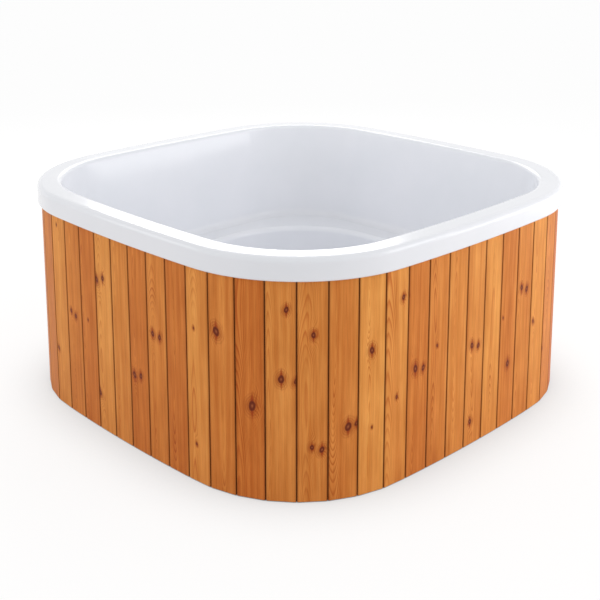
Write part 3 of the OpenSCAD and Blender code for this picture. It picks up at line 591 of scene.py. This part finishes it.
def set_up(k):
    """Makes one board from the plain one."""
    board = bpy.data.objects.new("board_%02d" % k, plain_board.data.copy())
    bpy.context.scene.collection.objects.link(board)
    hang(board, k)
    if k == DRAIN_BOARD:
        drill(board, DRAIN_DRILL, DRAIN_X, DRAIN_PIPE_HEIGHT)
    if k == HEATER_BOARD:
        for height in PORT_HEIGHTS:
            drill(board, PORT_DRILL, PORT_X, height)
    describe(board, k)
    smooth(board)
    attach(board, "tub")
    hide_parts(group_of(k))
    return board


boards = [set_up(k) for k in range(BOARD_COUNT)]
bpy.data.objects.remove(plain_board)
print(len(boards), "boards stand in", len({group_of(k) for k in range(BOARD_COUNT)}), "groups")

# %% [markdown]
# ## Materials as small steps
# A procedural material is a chain of small sums. One helper adds a node, feeds it and hands back its result,
# so that a finish reads from top to bottom like a recipe. The others are that helper with one kind of node
# each. Colours are given as they look on a screen, 0 to 255.


# %% Helpers for nodes
def screen(red, green, blue):
    """A colour as seen on a screen, turned into the linear numbers that a shader takes."""
    linear = [(c / 255 / 12.92) if c <= 10 else ((c / 255 + 0.055) / 1.055) ** 2.4
              for c in (red, green, blue)]
    return (*linear, 1)


def step(finish, kind, *inputs, output=0, named_inputs=None, **settings):
    """Adds one node, feeds its inputs in their order or by name, and returns one output."""
    node = finish.node_tree.nodes.new("ShaderNode" + kind)
    for key, value in settings.items():
        setattr(node, key, value)
    fed = list(zip(node.inputs, inputs)) + [(node.inputs[key], v) for key, v in (named_inputs or {}).items()]
    for socket, value in fed:
        if isinstance(value, bpy.types.NodeSocket):
            finish.node_tree.links.new(value, socket)
        elif value is not None:
            socket.default_value = value
    return node.outputs[output]


def sum_of(finish, operation, *inputs):
    return step(finish, "Math", *inputs, operation=operation)


def noise(finish, place, scale, detail, roughness=0.5):
    return step(finish, "TexNoise", named_inputs={
        "Vector": place, "Scale": scale, "Detail": detail, "Roughness": roughness})


def stretched(finish, place, *scales):
    return step(finish, "VectorMath", place, scales, operation="MULTIPLY")


def mixed(finish, factor, first_colour, second_colour, way="MIX"):
    return step(finish, "Mix", output=2, data_type="RGBA", blend_type=way, named_inputs={
        0: factor, 6: first_colour, 7: second_colour})


def parts(finish, vector):
    """The three numbers of a vector."""
    node = finish.node_tree.nodes.new("ShaderNodeSeparateXYZ")
    finish.node_tree.links.new(vector, node.inputs[0])
    return node.outputs


def ramp(finish, value, *stops):
    """Colour ramp with stops of (position, grey or colour)."""
    node = finish.node_tree.nodes.new("ShaderNodeValToRGB")
    while len(node.color_ramp.elements) < len(stops):
        node.color_ramp.elements.new(0.5)
    for element, (position, colour) in zip(node.color_ramp.elements, stops):
        element.position = position
        element.color = colour if isinstance(colour, tuple) else (colour, colour, colour, 1)
    finish.node_tree.links.new(value, node.inputs[0])
    return node.outputs[0]


print("140 on a screen is", round(screen(140, 140, 140)[0], 3), "to a shader")

# %% [markdown]
# ## A finish from start to end
# Every finish starts as a new material with plain values on its shader. Patterns are then linked to the
# shader's inputs, a height becomes a bump, and the finish goes onto all pieces of the frame that use its
# slot, and onto the new ones.


# %% Helpers for finishes
def new_finish(name, **sockets):
    """A new material, with plain values set on its shader's own sockets."""
    made = bpy.data.materials.new("finish_" + name)
    made.use_nodes = True
    shader = made.node_tree.nodes["Principled BSDF"]
    for socket, value in sockets.items():
        shader.inputs[socket.replace("_", " ")].default_value = value
    return made


def object_place(finish):
    """A point's place on its own piece, in metres."""
    return step(finish, "TexCoord", output=3)


def feed(finish, **sockets):
    """Links results to the shader's inputs."""
    shader = finish.node_tree.nodes["Principled BSDF"]
    for socket, value in sockets.items():
        finish.node_tree.links.new(value, shader.inputs[socket.replace("_", " ")])


def bumped(finish, height, distance, strength):
    """Turns a height into a bump of so many metres."""
    feed(finish, Normal=step(finish, "Bump", named_inputs={
        "Height": height, "Distance": distance, "Strength": strength}))


def dress(finish, slot, *pieces):
    """Gives a finish to every node of the frame that uses this slot, and to new pieces."""
    for name, used in slot_of.items():
        if used == slot:
            for material_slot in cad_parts[name].material_slots:
                material_slot.material = finish
    for piece in pieces:
        piece.data.materials.clear()
        piece.data.materials.append(finish)


print("slots to dress:", sorted(set(slot_of.values())))

# %% [markdown]
# ## Acrylic
# The sheet is cast against polished glass, so it is smooth and glossy, with a very faint ripple from the
# mould and a touch of blue in the white. Drawing it into the mould softens the gloss a little, and lamps
# show in it as broad sheens. Light that bounces about inside the basin picks the blue up, which is why the
# walls look cooler than the rim.

# %% White acrylic
acrylic = new_finish("white_acrylic", Roughness=0.18, IOR=1.49, Coat_Weight=0.35, Coat_Roughness=0.10)
place = object_place(acrylic)
cloud = noise(acrylic, place, 3.5, 3)
feed(acrylic,
     Base_Color=ramp(acrylic, cloud, (0.3, screen(238, 240, 245)), (0.7, screen(242, 243, 248))),
     Roughness=ramp(acrylic, noise(acrylic, place, 26, 2), (0.3, 0.15), (0.7, 0.21)))
bumped(acrylic, noise(acrylic, place, 45, 2), 0.0002, 0.25)
dress(acrylic, "white_acrylic", shell)
print("acrylic has", len(acrylic.node_tree.nodes), "nodes")

# %% [markdown]
# ## Stained pine: the pith
# A tree's rings are tubes round its pith, and a board cut beside the pith shows them as long flames. So the
# grain is worked out in the round: it starts from the distance to a pith that leans and wanders. The numbers
# come from each board's own description.

# %% Pine: distance from the pith
PITH_STRAY, PITH_STRAY_DEEP = 0.05, 0.07    # how far the pith wanders, across the board and into it
pine = new_finish("stained_pine", Roughness=0.5, Specular_IOR_Level=0.10, Coat_Weight=0.02,
                  Coat_Roughness=0.3)


def kept(name):
    """The three numbers that a board keeps under a name."""
    return parts(pine, step(pine, "Attribute", output=1, attribute_name=name))


def worked(operation, *inputs):
    """One sum in the pine's chain."""
    return sum_of(pine, operation, *inputs)


def length_of(x, y):
    return step(pine, "VectorMath", step(pine, "CombineXYZ", x, y, 0.0), output=1, operation="LENGTH")


def drawn_out(scales, detail, roughness=0.5):
    """Noise that is finer across the board than along it."""
    return noise(pine, stretched(pine, own_place, *scales), 1.0, detail, roughness)


across, depth, up = kept("wood_place")
tone, seed, spacing = kept("look")
pith_across, pith_depth, pith_lean = kept("pith")
own_place = step(pine, "VectorMath", step(pine, "CombineXYZ", across, depth, up),
                 step(pine, "CombineXYZ", seed, seed, seed), operation="ADD")
sideways = worked("MULTIPLY_ADD", drawn_out((0.3, 0.3, 1.6), 1), PITH_STRAY,
                  worked("SUBTRACT", across, pith_across))
backwards = worked("MULTIPLY_ADD", drawn_out((0.4, 0.4, 1.4), 1), PITH_STRAY_DEEP,
                   worked("SUBTRACT", depth, pith_depth))
backwards = worked("MULTIPLY_ADD", up, pith_lean, backwards)
radius = length_of(sideways, backwards)
print("the pith takes", len(pine.node_tree.nodes), "nodes")

# %% [markdown]
# ## Stained pine: the knots
# Where a branch grew, the rings swing round a knot, and resin draws a tall flame through it. For each of a
# board's three knots the chain works out the distance in knot radii, the shape of the flame, and how far the
# rings are pushed outwards. A knot beside the board's middle leans outwards, as its branch did.

# %% Pine: distance from the knots
KNOT_TALL = 1.4                          # a knot is so much taller than wide
KNOT_LEAN = -9.0                         # it leans by so much for each metre off the board's middle
KNOT_WOBBLE, FLAME_WOBBLE = 0.5, 0.4     # in knot radii
FLAME_UP, FLAME_ACROSS = 0.24, 0.85      # the smaller the number, the farther the flame reaches
SWING, SWING_FALL = 1.7, -0.28           # how far the rings are pushed, and how fast that fades
SWING_TALL = 2.2                         # the pushed rings reach so much farther up than across

wobble = noise(pine, stretched(pine, own_place, 1, 1, 0.7), 70, 2)
found = []
for name in KNOTS:
    knot_across, knot_up, knot_radius = kept(name)
    beside = worked("DIVIDE", worked("SUBTRACT", across, knot_across), knot_radius)
    above = worked("DIVIDE", worked("SUBTRACT", up, knot_up), knot_radius)
    above = worked("DIVIDE", above, KNOT_TALL)
    flame = worked("MULTIPLY_ADD", worked("ABSOLUTE", above), FLAME_UP,
                   worked("MULTIPLY", worked("ABSOLUTE", beside), FLAME_ACROSS))
    flame = worked("MULTIPLY_ADD", wobble, FLAME_WOBBLE, flame)
    beside = worked("ADD", beside, worked("MULTIPLY", worked("MULTIPLY", above, knot_across), KNOT_LEAN))
    distance = worked("MULTIPLY_ADD", wobble, KNOT_WOBBLE, length_of(beside, above))
    reach = length_of(beside, worked("DIVIDE", above, SWING_TALL))
    falling = worked("EXPONENT", worked("MULTIPLY", worked("MULTIPLY", reach, reach), SWING_FALL))
    push = worked("MULTIPLY", falling, worked("MULTIPLY", knot_radius, SWING))
    found.append((distance, flame, push))

knot_distance, flame, push = (
    worked(operation, worked(operation, one, two), three)
    for operation, (one, two, three) in zip(("MINIMUM", "MINIMUM", "ADD"), zip(*found)))
print("with the knots the pine takes", len(pine.node_tree.nodes), "nodes")

# %% [markdown]
# ## Stained pine: the rings
# The pushed distance, counted in rings and frayed a little, tells where in its ring a point lies. Each ring
# is pale spring wood that darkens towards a thin line of summer wood. Some bands of rings are stronger than
# others, and near a knot all of them are strong.

# %% Pine: the rings
RING_FRAY = 0.7      # in rings
BAND_PACE = 0.21     # bands to a ring, so a band is about five rings wide
NEAR_KNOT = 0.25     # a ramp ends at 1, so it gets a quarter of the distance from a knot

ring_place = worked("DIVIDE", worked("ADD", radius, push), spacing)
ring_place = worked("MULTIPLY_ADD", drawn_out((30, 30, 2), 2), RING_FRAY, ring_place)
near = worked("MULTIPLY", knot_distance, NEAR_KNOT)
band_place = step(pine, "CombineXYZ", worked("MULTIPLY", ring_place, BAND_PACE), seed, 0.0)
band = worked("MAXIMUM", ramp(pine, noise(pine, band_place, 1.0, 2), (0.35, 0.15), (0.65, 0.80)),
              ramp(pine, near, (0.35, 1.0), (1.0, 0.0)))
summer = ramp(pine, worked("FRACT", ring_place),
              (0.0, 0.35), (0.10, 0.0), (0.55, 0.22), (0.86, 1.0), (0.95, 0.85), (1.0, 0.35))
summer = worked("MULTIPLY", summer, band)
pale = mixed(pine, tone, screen(210, 110, 40), screen(252, 180, 96))
dark = mixed(pine, tone, screen(166, 64, 18), screen(214, 116, 48))
wood = mixed(pine, summer, pale, dark)
print("with the rings the pine takes", len(pine.node_tree.nodes), "nodes")

# %% [markdown]
# ## Stained pine: the stain, and painted shade at the foot
# The stain soaks in unevenly, which gives long streaks and cloudy patches, and the fibres add hair-thin
# lines. Towards the ground the boards are darker, a painted shade at their foot. All of these multiply the
# wood's own colour, so that the rings stay visible through them.


# %% Pine: streaks, patches, fibres and painted shade at the foot
def tinted(colour, pattern, *stops):
    """Multiplies a colour by a ramp over a pattern."""
    return mixed(pine, 1.0, colour, ramp(pine, pattern, *stops), "MULTIPLY")


streak = drawn_out((60, 60, 1.8), 3, 0.6)
patch = drawn_out((14, 14, 5), 2)
fibre = drawn_out((700, 700, 9), 2, 0.6)
wood = tinted(wood, streak, (0.35, 1.05), (0.72, (0.84, 0.70, 0.55, 1)))
wood = tinted(wood, patch, (0.3, (0.93, 0.88, 0.82, 1)), (0.7, (1.06, 1.09, 1.12, 1)))
wood = tinted(wood, fibre, (0.3, 0.86), (0.7, 1.06))
# painted shade: the boards darken towards the ground
wood = tinted(wood, up, (0.0, (0.92, 0.88, 0.84, 1)), (0.45, 1.0))
print("with the stain the pine takes", len(pine.node_tree.nodes), "nodes")

# %% [markdown]
# ## Stained pine: knots and joints
# From the outside inwards, a knot has a warm halo, dark arcs where the rings crowd, a red flame of resin, and
# a red brown heart with a darker rim. They are laid over the wood in that order. In the joints the stain
# gathers, and painted shade is added where light hardly reaches: the boards' edges darken and the tongues
# are dark all over.

# %% Pine: knots and joints
DECIMETRES, CENTIMETRES = 10.0, 100.0    # a ramp ends at 1, so lengths are told in these


def covered(colour, cover, pattern, *stops):
    """Lays one colour over another, as thickly as a ramp over a pattern says."""
    return mixed(pine, ramp(pine, pattern, *stops), colour, cover)


heart = ramp(pine, near, (0.07, screen(168, 96, 58)), (0.14, screen(136, 66, 38)),
             (0.21, screen(104, 42, 24)), (0.28, screen(116, 50, 28)))
from_middle = worked("MULTIPLY", worked("ABSOLUTE", across), DECIMETRES)
behind_face = worked("MULTIPLY", depth, CENTIMETRES)
wood = covered(wood, screen(176, 84, 30), near, (0.24, 0.75), (0.36, 0.35), (0.62, 0.0))
wood = covered(wood, screen(156, 74, 28), near, (0.36, 0.0), (0.41, 0.55), (0.46, 0.0), (0.54, 0.4),
               (0.60, 0.0), (0.68, 0.25), (0.75, 0.0))
wood = covered(wood, screen(164, 66, 24), flame, (0.60, 0.95), (1.0, 0.0))
wood = covered(wood, heart, near, (0.27, 1.0), (0.36, 0.0))
# the boards' edges: gathered stain and painted shade
wood = covered(wood, screen(124, 62, 22), from_middle, (0.51, 0.0), (0.60, 0.5))
# the tongues in the joints: gathered stain and painted shade, darker the deeper behind the face
wood = covered(wood, screen(112, 60, 26), behind_face, (0.02, 0.0), (0.14, 0.6), (0.5, 0.92))
feed(pine, Base_Color=wood, Roughness=ramp(pine, summer, (0.0, 0.52), (1.0, 0.40)))
bumped(pine, worked("MULTIPLY_ADD", fibre, 0.5, summer), 0.00012, 0.6)
dress(pine, "stained_pine", *boards)
print("the pine takes", len(pine.node_tree.nodes), "nodes")

# %% [markdown]
# ## Plain finishes
# The parts behind and under the skirt are workshop materials: plywood with long grain, sawn spruce, green
# pressure-treated joists, cream foam with a cut skin, grey moulded plastic, rubber, brushed steel and a
# dipped red grip. Each gets a base, some unevenness at its own scale and a fitting roughness, and no more.


# %% Finishes for the frame and the plumbing
def timber(slot, light, dark, stretch):
    """Sawn wood: streaks drawn out along the piece, crossed by finer ones."""
    made = new_finish(slot, Roughness=0.65, Specular_IOR_Level=0.25)
    spot = object_place(made)
    grain = noise(made, stretched(made, spot, *stretch), 1.0, 4, 0.6)
    fine = noise(made, stretched(made, spot, *[s * 9 for s in stretch]), 1.0, 2, 0.7)
    both = sum_of(made, "MULTIPLY_ADD", fine, 0.35, grain)
    feed(made, Base_Color=ramp(made, both, (0.45, screen(*dark)), (0.85, screen(*light))))
    bumped(made, both, 0.0004, 0.4)
    dress(made, slot)


def moulded(slot, colour, roughness, speckle=0.04):
    """Moulded plastic or rubber: one colour that clouds a little, under a fine skin."""
    made = new_finish(slot, Roughness=roughness)
    spot = object_place(made)
    cloud = noise(made, spot, 22, 3)
    low = screen(*[c * (1 - speckle) for c in colour])
    feed(made, Base_Color=ramp(made, cloud, (0.35, low), (0.65, screen(*colour))),
         Roughness=ramp(made, noise(made, spot, 90, 2), (0.3, roughness * 0.85), (0.7, roughness * 1.15)))
    bumped(made, noise(made, spot, 900, 2), 0.00006, 0.3)
    dress(made, slot)


timber("plywood", (214, 178, 128), (176, 134, 84), (9, 60, 60))
timber("spruce", (226, 196, 148), (188, 148, 98), (60, 60, 5))
timber("treated_timber", (150, 146, 104), (106, 104, 66), (5, 60, 60))
moulded("insulation", (236, 222, 176), 0.9, 0.10)
moulded("grey_plastic", (118, 122, 126), 0.38)
moulded("seal_rubber", (34, 34, 36), 0.7)
moulded("seat_plastic", (240, 240, 236), 0.35)
moulded("red_grip", (186, 30, 26), 0.42)

steel = new_finish("steel", Metallic=1.0, Roughness=0.3)
brushed = noise(steel, stretched(steel, object_place(steel), 40, 900, 900), 1.0, 3, 0.6)
feed(steel, Base_Color=ramp(steel, brushed, (0.3, screen(176, 178, 182)), (0.7, screen(206, 208, 210))),
     Roughness=ramp(steel, brushed, (0.3, 0.24), (0.7, 0.38)))
bumped(steel, brushed, 0.00004, 0.4)
dress(steel, "steel")
print("finishes made:", sorted(made.name for made in bpy.data.materials if made.name.startswith("finish_")))

# %% [markdown]
# ## A plain white floor
# The floor is a wide plane. To the camera, in reflections and through glass it glows up to white, and the
# glow fades where the tub hides the room from the floor, which leaves a soft shadow at the tub's foot. To
# the rest of the light it is plain pale paint.

# %% Floor
FLOOR_SIZE = 80
FLOOR_GLOW = 0.832
FLOOR_PAINT = 0.20      # the paint that the camera sees as well, so that lamps and shadows still count
SHADOW_REACH = 0.38     # only what is nearer than this hides the room from the floor
SHADOW_DEPTH = -0.86


def seen_directly(finish):
    """1 for rays from the camera, from glossy surfaces and through glass, otherwise 0."""
    rays = finish.node_tree.nodes.new("ShaderNodeLightPath")
    both = sum_of(finish, "ADD", rays.outputs["Is Camera Ray"], rays.outputs["Is Glossy Ray"])
    return sum_of(finish, "MINIMUM", sum_of(finish, "ADD", both, rays.outputs["Is Transmission Ray"]), 1.0)


nothing_selected()
bpy.ops.mesh.primitive_plane_add(size=FLOOR_SIZE)
floor = named("floor")
paper = new_finish("floor", Roughness=0.9, Base_Color=screen(226, 226, 226), Specular_IOR_Level=0.0)
paint = paper.node_tree.nodes["Principled BSDF"].outputs[0]
open_share = step(paper, "AmbientOcclusion", output=1, named_inputs={"Distance": SHADOW_REACH})
hidden = sum_of(paper, "SUBTRACT", 1.0, open_share)
strength = sum_of(paper, "MULTIPLY_ADD", sum_of(paper, "MULTIPLY", hidden, hidden), SHADOW_DEPTH, FLOOR_GLOW)
glow = step(paper, "Emission", (1, 1, 1, 1), strength)
dim = step(paper, "BsdfDiffuse", (FLOOR_PAINT, FLOOR_PAINT, FLOOR_PAINT, 1))
shown = step(paper, "MixShader", seen_directly(paper), paint, step(paper, "AddShader", glow, dim))
paper.node_tree.links.new(shown, paper.node_tree.nodes["Material Output"].inputs[0])
floor.data.materials.append(paper)
print("the floor is", FLOOR_SIZE, "m wide")

# %% [markdown]
# ## A plain white studio
# The world gives most of the light, clearly less from above than from the sides, as in a room with pale
# walls. Seen directly it is never darker than white, so it goes on where the floor ends.

# %% World
SIDE_LIGHT, TOP_LIGHT = 1.09, 0.58    # strength at the horizon and straight above
WHITE = 0.984                         # strength that shows as the floor does

world = bpy.data.worlds.new("studio")
bpy.context.scene.world = world
world.use_nodes = True
sky = world.node_tree.nodes["Background"]
sky.inputs["Color"].default_value = (1, 1, 1, 1)
upward = parts(world, step(world, "TexCoord"))[2]
room = ramp(world, upward, (0.0, SIDE_LIGHT), (1.0, TOP_LIGHT))
strength = sum_of(world, "MAXIMUM", sum_of(world, "MULTIPLY", seen_directly(world), WHITE), room)
world.node_tree.links.new(strength, sky.inputs["Strength"])
bpy.context.scene.view_settings.view_transform = "Standard"
print("the world takes", len(world.node_tree.nodes), "nodes")

# %% [markdown]
# ## Soft lamps
# Five wide lamps shape the tub. One hangs overhead. A large one stands behind the tub, so that the near rim
# mirrors it, and one stands beside the far right corner, at the height of the rim. The last two light the
# two sides that face the camera, the right one more strongly.


# %% Lamps
def softbox(name, width, height, place, target, power):
    """A rectangular lamp that looks at a point, with its power in watts."""
    light = bpy.data.lights.new(name, "AREA")
    light.shape = "RECTANGLE"
    light.size, light.size_y, light.energy = width, height, power
    lamp = bpy.data.objects.new(name, light)
    bpy.context.scene.collection.objects.link(lamp)
    lamp.location = place
    lamp.rotation_euler = (Vector(place) - Vector(target)).to_track_quat("Z", "Y").to_euler()


softbox("overhead", 2.5, 2.5, (-0.4, 0.4, 4.6), (0, 0, 0.5), 4)
softbox("behind", 3.05, 2.5, (-3.93, 3.14, 3.8), (0, 0, 1.0), 62)
softbox("side", 2.8, 1.7, (2.7, 3.45, 0.87), (1.0, 0.25, 0.87), 30)
softbox("left", 2.0, 2.0, (-3.2, -4.2, 2.6), (0, 0, 0.7), 16)
softbox("right", 2.5, 2.5, (4.9, 2.9, 3.4), (0, 0, 0.7), 46)
print("lamps:", [light.name for light in bpy.data.lights])
